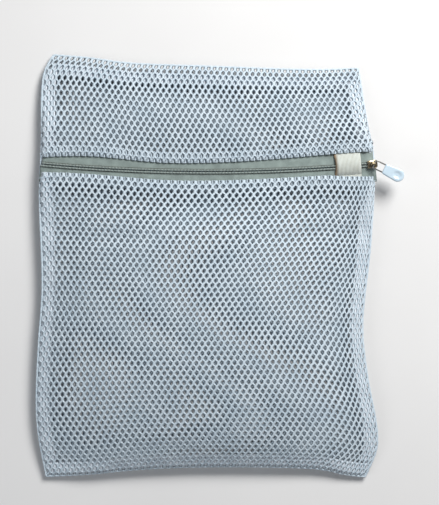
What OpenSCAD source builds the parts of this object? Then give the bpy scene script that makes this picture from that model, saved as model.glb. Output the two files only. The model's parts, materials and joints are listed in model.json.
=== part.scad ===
// Zipped mesh laundry bag, lying on its back, plumped as in use.
// X runs along the zip, +Y towards the bag's top edge, +Z out of its front. The table is z = 0.

/* [Bag] */
// Width of the sewn bag at its widest
bag_w = 300; // [240:5:400]
// Height of the sewn bag, bottom seam to top seam
bag_h = 372; // [300:6:500]
// Rise of the plumped lower front above the seam
lower_crown = 27; // [10:1:45]
// Rise of the slack upper front above the seam
upper_crown = 4; // [1:0.5:8]
// Height of the middle of the side seams above the table
side_seam_z = 12.3; // [9:0.1:25]
// Height of the middle of the bottom seam above the table
bottom_seam_z = 10; // [6:0.5:20]
// Height of the middle of the top seam above the table
top_seam_z = 6; // [5:0.5:15]
// Height of the four corners above the table
corner_z = 4; // [3:0.5:8]
// Distance from the seam over which the back panel comes down to the table
back_roll = 36; // [20:1:60]

/* [Mesh fabric] */
// Thickness of the knitted mesh
mesh_t = 0.8; // [0.5:0.1:1.5]
// Width of the flat lap where the two panels are sewn together
seam_lap = 2.0; // [1.6:0.2:4]
// Width of the seam binding
binding_w = 11; // [7:0.5:16]
// Thickness of the binding with the raw edges in it
binding_t = 1.2; // [0.8:0.1:2]
// Width of the hem folded under along each side of the zip
hem_w = 10; // [6:0.5:14]
// Inner radius of the hem's fold
fold_r = 0.1; // [0.05:0.05:0.3]
// Air between two layers that lie on each other
layer_gap = 0.1; // [0.05:0.05:0.3]
// Thread radius
thread_r = 0.2; // [0.1:0.05:0.3]
// Distance of the hem stitching from the hem's fold
stitch_in = 2.6; // [1.5:0.1:5]

/* [Zip] */
// Height of the zip's lowest point, mid-bag, above the bag's middle
zip_y = 82.3; // [40:0.1:110]
// Sag of the zip's middle below its two ends
zip_sag = 7; // [3:0.5:14]
// Width of one half of the zip tape
tape_w = 15; // [14:0.5:18]
// Thickness of the zip tape
tape_t = 0.5; // [0.3:0.1:0.8]
// Width of one half of the coil
coil_w = 1.65; // [1.4:0.05:2]
// Height of the coil above the tape
coil_h = 2.0; // [1.8:0.1:2.4]
// Gap between the two halves, which the slider's post runs in
coil_gap = 0.8; // [0.8:0.1:1.4]
// Wall of the hollow coil
coil_wall = 0.4; // [0.3:0.05:0.5]
// Radius of the cord that fills the coil
cord_r = 0.3; // [0.2:0.05:0.35]

/* [Slider] */
// Length of the slider
slider_l = 8.6; // [8:0.2:12]
// Thickness of the slider's two plates
plate_t = 1.0; // [0.8:0.1:1.4]
// Clearance between the slider and what runs in it
run_gap = 0.25; // [0.2:0.05:0.4]
// Clearance between the slider and the seam that it stands over
seam_gap = 0.35; // [0.3:0.05:0.6]
// Thickness of the slider's side walls
slider_wall = 0.8; // [0.6:0.1:1.2]
// How far the parked slider's nose stands out past the right-hand seam
park_over = 1.6; // [0:0.2:3]
// Width of the bridge that holds the pull
bridge_w = 1.8; // [1.4:0.1:2.4]
// Thickness of the bridge
bridge_t = 0.9; // [0.7:0.1:1.2]
// Height of the pull's bar above the slider's top plate
bar_lift = 1.7; // [1.6:0.1:2.4]
// Distance of the pull's bar from the tip of the slider's nose
bar_in = 2.9; // [2.6:0.1:3.6]

/* [Pull] */
// Radius of the bar that turns under the bridge
bar_r = 0.45; // [0.35:0.05:0.6]
// Clearance round the bar
bar_gap = 0.08; // [0.05:0.01:0.1]
// Width of the metal link
link_w = 8.2; // [7.8:0.2:9]
// Width of the link's two rails
rail_w = 1.2; // [0.8:0.1:1.4]
// Distance from the bar to the grip
link_reach = 9; // [7:0.5:12]
// Length of link moulded into the grip
link_in = 3.2; // [2:0.2:5]
// Length of the moulded grip
grip_l = 19; // [14:0.5:30]
// Width of the grip where the link enters
grip_w = 9.4; // [9.2:0.2:12]
// Width of the grip's round end
grip_end_w = 11.4; // [9.4:0.2:14]
// Thickness of the grip
grip_t = 2.8; // [2.4:0.1:2.8]
// Angle between the loose pull and the line of the zip
pull_skew = 31; // [0:1:31]

/* [Elastic loop] */
// Width of the elastic, along the zip
elastic_w = 23; // [15:1:30]
// Thickness of the elastic
elastic_t = 0.8; // [0.5:0.1:1]
// Height of the elastic's arch over the tape
elastic_rise = 4.6; // [3.5:0.1:5]
// Half of the arch's span
elastic_reach = 9.3; // [8:0.1:9.5]
// Distance of the arch's middle from the zip's centre line, towards the top
elastic_shift = 2.1; // [1:0.1:2.4]
// Length of elastic sewn in under each hem
elastic_foot = 3.6; // [2:0.2:5]
// Distance of the elastic from the right-hand seam
elastic_in = 12.5; // [11.5:0.5:60]

/* [Hidden] */
$fn = 48;
arc_fn = 1440;    // segments in a full circle of the zip's wide bow
below = -1;       // side of the zip towards the bag's bottom
above = 1;        // side of the zip towards its top

mesh_white = [0.90, 0.93, 0.96];
tape_green = [0.60, 0.66, 0.62];
coil_green = [0.52, 0.58, 0.54];
cream = [0.90, 0.87, 0.78];
thread_white = [0.94, 0.95, 0.97];
metal = [0.75, 0.75, 0.76];
grip_white = [0.93, 0.95, 0.96];

// How far each edge pulls in from the full width or height: [share of the half side, inset].
left_inset = [[-1, 8], [-0.72, 0.4], [-0.38, 2], [-0.1, 5.6], [0.34, 3], [0.57, 4.7], [0.9, 5.6], [1, 14]];
right_inset = [[-1, 12], [-0.83, 1.2], [-0.5, 11], [-0.27, 15], [0.1, 8], [0.5, 4.7], [0.68, 11], [1, 19]];
top_inset = [[-1, -1], [-0.69, 2.5], [-0.42, 7.5], [0, 10], [0.6, 13], [1, 11]];
bottom_inset = [[-1, 1], [-0.69, 4], [-0.42, 8.5], [0, 11], [0.6, 9], [0.8, 3], [1, 0]];
// Distance from the zip's centre line to each hem: [share of the half width, distance].
lower_reveal = [[-1, 9.5], [-0.84, 5.5], [-0.6, 5], [-0.16, 8], [0.62, 6], [0.72, 7.8], [1, 10.8]];
upper_reveal = [[-1, 4.8], [-0.84, 8.5], [-0.63, 10.5], [-0.2, 7.2], [0.68, 12], [0.9, 12], [1, 11]];

half_w = bag_w / 2;
half_h = bag_h / 2;

function mix(a, b, t) = a * (1 - t) + b * t;
function limit(t) = min(max(t, 0), 1);
function ease(t) = let (s = limit(t)) s * s * (3 - 2 * s);
function steps(a, b, n) = [for (i = [0:n]) mix(a, b, i / n)];

// Smooth curve through [place, value] points.
function span_of(p, t, i = 0) = i >= len(p) - 2 || t < p[i + 1][0] ? i : span_of(p, t, i + 1);
function slope_at(p, i) =
    let (a = max(i - 1, 0), b = min(i + 1, len(p) - 1))
    (p[b][1] - p[a][1]) / (p[b][0] - p[a][0]);
function curve(p, t) =
    let (i = span_of(p, t), h = p[i + 1][0] - p[i][0], s = (t - p[i][0]) / h)
    (2 * s^3 - 3 * s^2 + 1) * p[i][1] + (s^3 - 2 * s^2 + s) * h * slope_at(p, i)
    + (3 * s^2 - 2 * s^3) * p[i + 1][1] + (s^3 - s^2) * h * slope_at(p, i + 1);

// The four edges of the sewn bag in plan.
function left_x(y) = -half_w + curve(left_inset, y / half_h);
function right_x(y) = half_w - curve(right_inset, y / half_h);
function top_y(x) = half_h - curve(top_inset, x / half_w);
function bottom_y(x) = -half_h + curve(bottom_inset, x / half_w);

// The zip lies on a wide circle, which the slider follows.
zip_r = (half_w^2 + zip_sag^2) / (2 * zip_sag);
zip_axis_y = zip_y + zip_r;
function zip_line(x) = zip_axis_y - sqrt(zip_r^2 - x^2);
zip_end_y = zip_line(half_w);
zip_left_x = left_x(zip_end_y);
zip_right_x = right_x(zip_end_y);
function reveal(side, x) = curve(side == below ? lower_reveal : upper_reveal, x / half_w);
function fold_y(side, x) = zip_line(x) + side * (reveal(side, x) + mesh_t + fold_r);

// A point for a place across (u) and a place along (t) between a low and a high line across the bag.
function patch_xy(u, t, low, high) =
    let (y_low = low(mix(left_x(-half_h), right_x(-half_h), u)),
         y_high = high(mix(left_x(half_h), right_x(half_h), u)),
         y = mix(y_low, y_high, t))
    [mix(left_x(y), right_x(y), u), y];
bottom_line = function (x) bottom_y(x);
top_line = function (x) top_y(x);
lower_fold_line = function (x) fold_y(below, x);
upper_fold_line = function (x) fold_y(above, x);

// Height of the seam above the table: level in the middle of each edge, low at the corners.
function edge_z(middle, s) = mix(corner_z, middle, 1 - min(abs(s), 1)^4);
function share_up(y) = limit((y + half_h) / bag_h);
function seam_z(u, v) =
    let (across = 2 * u - 1, up = 2 * v - 1)
    mix(mix(edge_z(bottom_seam_z, across), edge_z(top_seam_z, across), v),
        edge_z(side_seam_z, up), abs(across)^6);

// Heights along the zip, from the seam binding upwards.
zip_z = seam_z(0, share_up(zip_end_y)) + binding_t / 2 + seam_gap + plate_t + run_gap;
tape_top = zip_z + tape_t;
hem_z = tape_top + layer_gap + mesh_t + 2 * fold_r;   // inner face of the panel over its hem
deck_z = tape_top + coil_h + run_gap;                 // underside of the slider's top plate
deck_top = deck_z + plate_t;
bar_z = deck_top + bar_lift;

// The hem lifts over the foot of the elastic.
elastic_x = zip_right_x - elastic_in - elastic_w / 2;
lift_round = 4;
lift_blend = 12;
function foot_lift(x) =
    (elastic_t + layer_gap) * (1 - ease((abs(x - elastic_x) - elastic_w / 2 - lift_round) / lift_blend));

// The front stays level beside the zip, then swells or runs down to the seam.
flat_reach = 20;
level_blend = 40;
crown_power = 2.4;
crown_round = 0.8;
fill_shift = 0.9;                                     // moves the fullest place towards the bottom
lap_share = seam_lap / bag_w;
function crown(t) =
    let (s = limit((t - lap_share) / (1 - 2 * lap_share)))
    (1 - abs(2 * s - 1)^crown_power)^crown_round;
function front_z(u, x, y, bulge) =
    let (away = ease((abs(y - zip_line(x)) - flat_reach) / level_blend),
         seam = seam_z(u, share_up(y)) + binding_t / 2 + layer_gap)
    mix(hem_z + foot_lift(x), seam + bulge, away);

// Inner face of each panel.
function back_point(u, t) =
    let (p = patch_xy(u, t, bottom_line, top_line),
         side = limit((min(u, 1 - u) * bag_w - seam_lap) / back_roll),
         end = limit((min(t, 1 - t) * bag_h - seam_lap) / back_roll),
         rise = 1 - (1 - (1 - side)^2) * (1 - (1 - end)^2))
    [p[0], p[1], mix(mesh_t, seam_z(u, t) - binding_t / 2 - layer_gap, rise)];
function lower_point(u, t) =
    let (p = patch_xy(u, t, bottom_line, lower_fold_line))
    [p[0], p[1], front_z(u, p[0], p[1], lower_crown * crown(u) * crown(t^fill_shift))];
function upper_point(u, t) =
    let (p = patch_xy(u, t, upper_fold_line, top_line))
    [p[0], p[1], front_z(u, p[0], p[1], upper_crown * crown(u) * crown(t))];
// Inner face of the fold: round by an angle, then back under the panel by a distance.
function fold_point(side, u, angle, back) =
    let (y = fold_y(side, mix(zip_left_x, zip_right_x, u)) + side * (back - fold_r * sin(angle)),
         x = mix(left_x(y), right_x(y), u))
    [x, y, hem_z + foot_lift(x) - fold_r * (1 - cos(angle))];

// A fabric sheet of even thickness on a grid of points, grown to one side of them.
function unit(v) = v / norm(v);
function normal_at(g, i, j) =
    let (a = max(i - 1, 0), b = min(i + 1, len(g) - 1), c = max(j - 1, 0), d = min(j + 1, len(g[0]) - 1))
    unit(cross(g[i][d] - g[i][c], g[b][j] - g[a][j]));
module sheet(grid, thickness, down = false) {
    rows = len(grid);
    cols = len(grid[0]);
    n = rows * cols;
    side = down ? -1 : 1;
    inner = [for (row = grid, p = row) p];
    outer = [for (i = [0:rows - 1], j = [0:cols - 1]) grid[i][j] + side * thickness * normal_at(grid, i, j)];
    function at(i, j) = i * cols + j;
    faces = [for (i = [0:rows - 2], j = [0:cols - 2])
             let (a = at(i, j), b = at(i, j + 1), c = at(i + 1, j + 1), d = at(i + 1, j))
             each [[a, b, c], [a, c, d], [a + n, c + n, b + n], [a + n, d + n, c + n]]];
    rim = concat([for (j = [0:cols - 1]) at(0, j)], [for (i = [1:rows - 1]) at(i, cols - 1)],
                 [for (j = [cols - 2:-1:0]) at(rows - 1, j)], [for (i = [rows - 2:-1:1]) at(i, 0)]);
    edges = [for (k = [0:len(rim) - 1])
             let (a = rim[k], b = rim[(k + 1) % len(rim)])
             each [[a, a + n, b + n], [a, b + n, b]]];
    polyhedron(down ? concat(outer, inner) : concat(inner, outer), concat(faces, edges), convexity = 6);
}

// Places across or along a panel, close together near its seams, where it curves most.
function places(n) =
    concat([0], [for (i = [0:n]) mix(lap_share, 1 - lap_share, (1 - cos(180 * i / n)) / 2)], [1]);
across_places = places(22);
fold_angles = [180:-36:36];

module back_panel() {
    color(mesh_white)
    sheet([for (t = places(28)) [for (u = across_places) back_point(u, t)]], mesh_t, down = true);
}

function hem_rows(side) =
    concat([for (back = [hem_w, hem_w / 2]) [for (u = across_places) fold_point(side, u, 180, back)]],
           [for (angle = fold_angles) [for (u = across_places) fold_point(side, u, angle, 0)]]);
function reversed(list) = [for (i = [len(list) - 1:-1:0]) list[i]];

module lower_front_panel() {
    panel = [for (t = places(22)) [for (u = across_places) lower_point(u, t)]];
    color(mesh_white) sheet(concat(panel, reversed(hem_rows(below))), mesh_t);
}

module upper_front_panel() {
    panel = [for (t = places(10)) [for (u = across_places) upper_point(u, t)]];
    color(mesh_white) sheet(concat(hem_rows(above), panel), mesh_t);
}

// Thread lying on the hem, through both layers of net and the tape.
module hem_stitching(side) {
    color(thread_white)
    sheet([for (off = [-thread_r, thread_r])
           [for (u = across_places)
            let (p = fold_point(side, u, 0, stitch_in + side * off))
            p + [0, 0, mesh_t + layer_gap]]], 2 * thread_r);
}
module lower_hem_stitching() { hem_stitching(below); }
module upper_hem_stitching() { hem_stitching(above); }

// A band between the panels, along the seam.
module band(us, vs, thickness) {
    sheet([for (v = vs) [for (u = us)
           let (p = patch_xy(u, v, bottom_line, top_line))
           [p[0], p[1], seam_z(u, v) - thickness / 2]]], thickness);
}
binding_in = seam_lap + layer_gap;                    // from the seam's edge to the binding
binding_end = binding_in + binding_w;
side_vs = steps((binding_end + layer_gap) / bag_h, 1 - (binding_end + layer_gap) / bag_h, 30);
end_us = steps(binding_in / bag_w, 1 - binding_in / bag_w, 26);
near_vs = steps(binding_in / bag_h, binding_end / bag_h, 2);
near_us = steps(binding_in / bag_w, binding_end / bag_w, 2);
function far(places) = [for (i = [len(places) - 1:-1:0]) 1 - places[i]];

module left_binding() { color(thread_white) band(near_us, side_vs, binding_t); }
module right_binding() { color(thread_white) band(far(near_us), side_vs, binding_t); }
module bottom_binding() { color(thread_white) band(end_us, near_vs, binding_t); }
module top_binding() { color(thread_white) band(end_us, far(near_vs), binding_t); }

// Thread in the seam itself, along all four sides.
module seam_thread() {
    line = [seam_lap / 2 - thread_r, seam_lap / 2 + thread_r];
    stop = line[1] + layer_gap;
    side_line = steps(stop / bag_h, 1 - stop / bag_h, 40);
    end_line = steps(line[0] / bag_w, 1 - line[0] / bag_w, 30);
    color(thread_white) {
        band(line / bag_w, side_line, 2 * thread_r);
        band(far(line / bag_w), side_line, 2 * thread_r);
        band(end_line, line / bag_h, 2 * thread_r);
        band(end_line, far(line / bag_h), 2 * thread_r);
    }
}

// Sweeps a profile along the zip's bow between two places. The profile's x is the distance
// from the zip's centre line, on the side asked for.
module along_zip(side, from_x, to_x) {
    from = asin(from_x / zip_r);
    to = asin(to_x / zip_r);
    translate([0, zip_axis_y, 0])
        rotate([0, 0, from - 90])
            rotate_extrude(angle = to - from, $fn = arc_fn)
                translate([zip_r, 0]) mirror([side == above ? 1 : 0, 0]) children();
}
// Puts a piece that is drawn at the zip's centre line, along +X, at its place on the bow.
module on_zip(x) {
    translate([0, zip_axis_y, 0])
        rotate([0, 0, asin(x / zip_r)])
            translate([0, -zip_r, 0]) children();
}

tape_end = 0.4;                                       // from the seam's edge to the end of the tape
module zip_tape(side) {
    color(tape_green)
    along_zip(side, zip_left_x + tape_end, zip_right_x - tape_end)
        translate([coil_gap / 2, zip_z]) square([tape_w - coil_gap / 2, tape_t]);
}
module lower_zip_tape() { zip_tape(below); }
module upper_zip_tape() { zip_tape(above); }

// The coil is a hollow rounded bar, with a cord running through it.
module stadium(w, h) {
    translate([-w / 2, w / 2]) square([w, h - w]);
    translate([0, w / 2]) circle(d = w, $fn = 32);
    translate([0, h - w / 2]) circle(d = w, $fn = 32);
}
module along_coil(side) {
    along_zip(side, zip_left_x + seam_lap, zip_right_x - seam_lap)
        translate([(coil_gap + coil_w) / 2, tape_top]) children();
}
module zip_coil(side) {
    color(coil_green)
    along_coil(side) difference() {
        stadium(coil_w, coil_h);
        translate([0, coil_wall]) stadium(coil_w - 2 * coil_wall, coil_h - 2 * coil_wall);
    }
}
module lower_zip_coil() { zip_coil(below); }
module upper_zip_coil() { zip_coil(above); }

module coil_cord(side) {
    color(thread_white)
    along_coil(side) translate([0, coil_w / 2]) circle(r = cord_r, $fn = 24);
}
module lower_coil_cord() { coil_cord(below); }
module upper_coil_cord() { coil_cord(above); }

// Elastic arched over the zip, its two feet sewn in between the tape and the hems.
module elastic_loop() {
    arch_r = (elastic_reach^2 + elastic_rise^2) / (2 * elastic_rise);
    root = 1.6;                                       // foot inside the end of the arch
    color(cream)
    on_zip(elastic_x)
        translate([-elastic_w / 2, elastic_shift, tape_top])
            rotate([90, 0, 90]) linear_extrude(elastic_w) {
                intersection() {
                    translate([0, elastic_rise - arch_r]) difference() {
                        circle(r = arch_r, $fn = 96);
                        circle(r = arch_r - elastic_t, $fn = 96);
                    }
                    translate([-elastic_reach, 0]) square([2 * elastic_reach, elastic_rise + 1]);
                }
                for (side = [-1, 1])
                    translate([side * (elastic_reach + (elastic_foot - root) / 2), elastic_t / 2])
                        square([elastic_foot + root, elastic_t], center = true);
            }
}

// Slider, parked at the closed, right-hand end. Its post runs between the two halves of the coil.
park_x = zip_right_x + park_over - slider_l / 2;
channel = coil_gap / 2 + coil_w + run_gap;            // half width of the coil's passage
tail_half = channel + slider_wall;
nose_half = tail_half + 0.4;
bar_x = slider_l / 2 - bar_in;
nose_round = 1.4;
post_l = 2.4;
post_in = 0.6;
module slider_plan(shrink = 0) {
    l = slider_l / 2 - shrink;
    polygon([[-l, shrink - tail_half], [l - nose_round, shrink - nose_half], [l, shrink - nose_half + nose_round],
             [l, nose_half - nose_round - shrink], [l - nose_round, nose_half - shrink], [-l, tail_half - shrink]]);
}
module bridge_side() {
    tail = bar_x - 3.2;
    nose = bar_x + bar_r + bar_gap + bridge_t;
    top = bar_z + bar_r + bar_gap + bridge_t;
    round_r = 1;
    translate([tail, deck_top]) square([nose - tail, top - round_r - deck_top]);
    translate([tail + round_r, deck_top]) square([nose - tail - 2 * round_r, top - deck_top]);
    for (x = [tail + round_r, nose - round_r])
        translate([x, top - round_r]) circle(r = round_r);
}
module slider_body() {
    base_z = zip_z - run_gap - plate_t;
    color(metal)
    on_zip(park_x) {
        translate([0, 0, base_z]) linear_extrude(plate_t) slider_plan(0.2);
        translate([0, 0, deck_z]) linear_extrude(plate_t) slider_plan();
        // side walls, which hang from the top plate and stop above the tape
        translate([0, 0, tape_top + run_gap])
            linear_extrude(deck_z - tape_top - run_gap) difference() {
                slider_plan();
                square([2 * slider_l, 2 * channel], center = true);
            }
        // post that joins the plates and parts the coil
        translate([slider_l / 2 - post_l - post_in, (run_gap - coil_gap) / 2, base_z + plate_t / 2])
            cube([post_l, coil_gap - run_gap, deck_top - base_z - plate_t]);
        // bridge over the pull's bar, with the bar's seat bored in its front
        difference() {
            translate([0, bridge_w / 2, 0]) rotate([90, 0, 0]) linear_extrude(bridge_w) bridge_side();
            translate([bar_x - 3.2 + bridge_t, -bridge_w, deck_top])
                cube([3.2 - bridge_t, 2 * bridge_w, bar_z + bar_r + bar_gap - deck_top]);
            on_bar() cylinder(r = bar_r + bar_gap, h = link_w, center = true);
        }
    }
}

// Turns +Z to the bar's axis, for pieces that are drawn on the slider.
module on_bar() {
    translate([bar_x, 0, bar_z]) rotate([0, 0, -pull_skew]) rotate([90, 0, 0]) children();
}
// The pull is drawn along +X with its bar at the origin.
module pull_place() {
    on_zip(park_x) translate([bar_x, 0, bar_z]) rotate([0, 0, -pull_skew]) children();
}
module pull_link() {
    rail_l = link_reach + link_in;
    color(metal)
    pull_place() {
        rotate([90, 0, 0]) cylinder(r = bar_r, h = link_w, center = true);
        for (side = [-1, 1])
            translate([0, side * (link_w - rail_w) / 2 - rail_w / 2, -bar_r])
                cube([rail_l, rail_w, 2 * bar_r]);
        translate([rail_l - rail_w, -link_w / 2, -bar_r]) cube([rail_w, link_w, 2 * bar_r]);
    }
}

module grip_plan(inset) {
    end_r = grip_end_w / 2;
    corner_r = 1.2;
    hull() {
        for (side = [-1, 1])
            translate([link_reach + corner_r, side * (grip_w / 2 - corner_r)])
                circle(r = corner_r - inset, $fn = 32);
        translate([link_reach + grip_l - end_r, 0]) circle(r = end_r - inset, $fn = 64);
    }
}
module pull_grip() {
    chamfer = 0.6;
    moulding_gap = 0.02;                              // between the link and the grip round it
    thumb_r = 6;
    thumb_depth = 0.7;
    pocket = 2 * (bar_r + moulding_gap);
    color(grip_white)
    pull_place()
        difference() {
            union() {
                translate([0, 0, chamfer - grip_t / 2]) linear_extrude(grip_t - 2 * chamfer) grip_plan(0);
                translate([0, 0, -grip_t / 2]) linear_extrude(grip_t) grip_plan(chamfer);
            }
            translate([link_reach + grip_l - grip_end_w / 2, 0, grip_t / 2 + thumb_r - thumb_depth])
                sphere(r = thumb_r);
            translate([link_reach - 1, -link_w / 2 - moulding_gap, -pocket / 2])
                cube([link_in + 1 + moulding_gap, link_w + 2 * moulding_gap, pocket]);
        }
}

back_panel();
lower_front_panel();
upper_front_panel();
left_binding();
right_binding();
top_binding();
bottom_binding();
seam_thread();
lower_zip_tape();
upper_zip_tape();
lower_zip_coil();
upper_zip_coil();
lower_coil_cord();
upper_coil_cord();
lower_hem_stitching();
upper_hem_stitching();
elastic_loop();
slider_body();
pull_link();
pull_grip();
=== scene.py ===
import json
import math

import bmesh
import bpy
import numpy as np
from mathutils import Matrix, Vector
from mathutils.bvhtree import BVHTree


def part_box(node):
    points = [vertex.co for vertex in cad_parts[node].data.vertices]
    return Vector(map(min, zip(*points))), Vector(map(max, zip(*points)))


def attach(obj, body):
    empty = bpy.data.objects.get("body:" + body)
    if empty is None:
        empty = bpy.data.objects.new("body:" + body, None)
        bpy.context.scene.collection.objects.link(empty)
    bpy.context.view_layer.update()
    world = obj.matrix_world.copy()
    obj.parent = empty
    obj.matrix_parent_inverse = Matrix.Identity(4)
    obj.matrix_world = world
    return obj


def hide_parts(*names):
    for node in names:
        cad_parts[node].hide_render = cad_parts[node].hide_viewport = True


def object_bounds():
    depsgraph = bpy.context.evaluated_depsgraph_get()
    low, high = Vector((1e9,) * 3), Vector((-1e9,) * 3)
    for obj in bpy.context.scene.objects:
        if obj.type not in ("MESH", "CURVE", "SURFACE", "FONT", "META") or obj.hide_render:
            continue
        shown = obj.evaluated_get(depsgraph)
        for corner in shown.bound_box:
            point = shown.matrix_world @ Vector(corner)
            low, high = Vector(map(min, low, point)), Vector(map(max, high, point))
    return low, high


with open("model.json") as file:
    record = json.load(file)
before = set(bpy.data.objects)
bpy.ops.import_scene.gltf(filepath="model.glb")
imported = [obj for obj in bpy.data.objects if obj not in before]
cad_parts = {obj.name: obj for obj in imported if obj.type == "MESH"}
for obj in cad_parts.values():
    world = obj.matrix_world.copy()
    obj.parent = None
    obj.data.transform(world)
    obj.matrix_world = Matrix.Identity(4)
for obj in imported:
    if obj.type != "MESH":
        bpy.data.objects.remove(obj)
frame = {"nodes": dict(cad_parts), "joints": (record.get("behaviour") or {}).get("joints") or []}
cad_low, cad_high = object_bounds()
nodes = frame["nodes"]

# ---- Camera, floor and light ----
# The bag lies on a pale studio floor, seen from straight above. A wide soft light hangs over
# one shoulder of the camera, with a weaker one opposite to open the shadows.

camera_rise = 1.1                      # above the bag's front
frame_share = 0.845                    # of the view's height that the bag fills
frame_shift = (0.0003, 0.0117)         # from the middle of the bag's box to the middle of the view
sensor_mm = 36.0
floor_half = 3

middle = (cad_low + cad_high) / 2
front_z = cad_high.z / 3


def put_out(name, data):
    """A new object in the scene."""
    made = bpy.data.objects.new(name, data)
    bpy.context.scene.collection.objects.link(made)
    return made


def plain_mesh(name, points, faces, edges=()):
    """A new object made of points, faces and edges."""
    mesh = bpy.data.meshes.new(name)
    mesh.from_pydata(points, edges, faces)
    return put_out(name, mesh)


def soft_light(name, place, width, power, colour):
    """A square studio light that points at the bag."""
    lamp = bpy.data.lights.new(name, "AREA")
    lamp.size, lamp.energy, lamp.color = width, power, colour
    holder = put_out(name, lamp)
    holder.location = place
    holder.rotation_euler = (middle - Vector(place)).to_track_quat("-Z", "Y").to_euler()


camera = bpy.data.cameras.new("camera")
camera.sensor_width = sensor_mm
camera.lens = sensor_mm * camera_rise / ((cad_high.y - cad_low.y) / frame_share)
camera_place = put_out("camera", camera)
camera_place.location = (middle.x + frame_shift[0], middle.y + frame_shift[1], front_z + camera_rise)
bpy.context.scene.camera = camera_place

soft_light("main_light", (0.6, 0.85, 1.0), width=0.6, power=27, colour=(1.0, 0.985, 0.965))
soft_light("fill_light", (-0.9, -0.5, 1.0), width=0.9, power=3.6, colour=(0.9, 0.95, 1.0))
room = bpy.data.worlds.new("studio")
room.use_nodes = True
room_light = room.node_tree.nodes["Background"].inputs
room_light["Color"].default_value = (0.93, 0.95, 1.0, 1)
room_light["Strength"].default_value = 0.2
bpy.context.scene.world = room
bpy.context.scene.view_settings.view_transform = "Standard"


def node_in(tree, kind, inputs=(), **settings):
    """Adds a node and fills its inputs, from other nodes' outputs or with plain values."""
    made = tree.nodes.new(kind)
    for key, value in settings.items():
        setattr(made, key, value)
    for key, value in dict(inputs).items():
        if isinstance(value, bpy.types.NodeSocket):
            tree.links.new(value, made.inputs[key])
        else:
            made.inputs[key].default_value = value
    return made


def step_in(tree, kind, inputs=(), **settings):
    """Adds a node in the same way, and gives its first output."""
    return node_in(tree, kind, inputs, **settings).outputs[0]


def new_finish(name, values):
    """A new material with its plain values, and its node tree."""
    material = bpy.data.materials.new(name)
    material.use_nodes = True
    surface = material.node_tree.nodes["Principled BSDF"].inputs
    for key, value in values.items():
        surface[key].default_value = value
    return material, material.node_tree


def dress(material, colour, height=None, strength=0.0, distance=0.0):
    """Gives a material its colour, and bumps from a height if it has one."""
    tree = material.node_tree
    surface = tree.nodes["Principled BSDF"].inputs
    tree.links.new(colour, surface["Base Color"])
    if height is not None:
        bump = step_in(tree, "ShaderNodeBump", {"Height": height, "Strength": strength, "Distance": distance})
        tree.links.new(bump, surface["Normal"])
    return material


def noise(tree, scale, detail=2.0, place=None):
    """Even cloudy noise on the piece's own coordinates, in metres, unless a place is given."""
    if place is None:
        place = node_in(tree, "ShaderNodeTexCoord").outputs["Object"]
    cloud = node_in(tree, "ShaderNodeTexNoise", {"Vector": place, "Scale": scale, "Detail": detail})
    return cloud.outputs["Fac"]


def shade(tree, factor, *colours):
    """Blends between two colours along a factor, each given as (place, colour)."""
    ramp = node_in(tree, "ShaderNodeValToRGB", {"Fac": factor})
    for element, (position, colour) in zip(ramp.color_ramp.elements, colours):
        element.position = position
        element.color = (*colour, 1)
    return ramp.outputs["Color"]


pale_floor, floor_tree = new_finish("pale_floor", {"Roughness": 0.9})
floor_cloud = noise(floor_tree, 6.0, 4.0)
dress(pale_floor, shade(floor_tree, floor_cloud, (0.3, (0.69, 0.69, 0.69)), (0.7, (0.72, 0.72, 0.72))))
floor_corners = [(x * floor_half, y * floor_half, 0) for x, y in ((-1, -1), (1, -1), (1, 1), (-1, 1))]
floor = plain_mesh("floor", floor_corners, [(0, 1, 2, 3)])
floor.data.materials.append(pale_floor)

# ---- Cut and sewn shape ----
# Three panels of net: the back, the part of the front below the zip and the part above it.
# Their plan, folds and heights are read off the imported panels, then the cloth is let pucker
# between its seams. Everything sewn on later lies on these three surfaces.

net_thick = 0.0008
hem_wide = 0.010                       # net folded under beside the zip
hem_drop = 0.0010                      # from the panel down to the layer folded under it
seam_lap = 0.0018                      # where front and back lie flat together and are sewn
edge_close = 0.004                     # width over which front and back come together at the seam
across_steps = 66
back_steps = 78
lower_steps = 58
upper_steps = 24
fold_steps = 3                         # rows in the round of the hem's fold
under_steps = 3                        # rows in the layer under it
edge_inset = 0.0004                    # in from a node's ends, to where its edges are first measured
lean_start, lean_over = 0.55, 0.45     # shares of the panel's length, before the lean and over it
sway_turns, sway_slant = 2.6, 2.2      # half waves of the sway along the panel, and its slant across


def corners_of(name):
    """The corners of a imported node's triangles."""
    mesh = nodes[name].data
    mesh.calc_loop_triangles()
    order = np.empty(len(mesh.loop_triangles) * 3, dtype=np.int32)
    mesh.loop_triangles.foreach_get("vertices", order)
    places = np.empty(len(mesh.vertices) * 3)
    mesh.vertices.foreach_get("co", places)
    return places.reshape(-1, 3)[order].reshape(-1, 3, 3)


def span_at(triangles, axis, value):
    """Lowest and highest place of a node in plan, along a line where one coordinate is value."""
    here = triangles[:, :, axis] - value
    there = np.roll(here, -1, axis=1)
    crossed = here * there < 0
    share = here[crossed] / (here[crossed] - there[crossed])
    start = triangles[:, :, 1 - axis][crossed]
    end = np.roll(triangles[:, :, 1 - axis], -1, axis=1)[crossed]
    cuts = start + (end - start) * share
    return cuts.min(), cuts.max()


def line_along(triangles, axis, start, end, side, steps=180):
    """An edge of a node in plan: places along it, and how far out it lies at each."""
    at = np.linspace(start + edge_inset, end - edge_inset, steps)
    return at, np.array([span_at(triangles, axis, value)[side] for value in at])


back_corners = corners_of("back_panel")
lower_corners = corners_of("lower_front_panel")
upper_corners = corners_of("upper_front_panel")


def corner(side, end):
    """Plan place of a corner of the sewn bag."""
    points = back_corners.reshape(-1, 3)
    return points[np.argmax(side * points[:, 0] + end * points[:, 1])]


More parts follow.
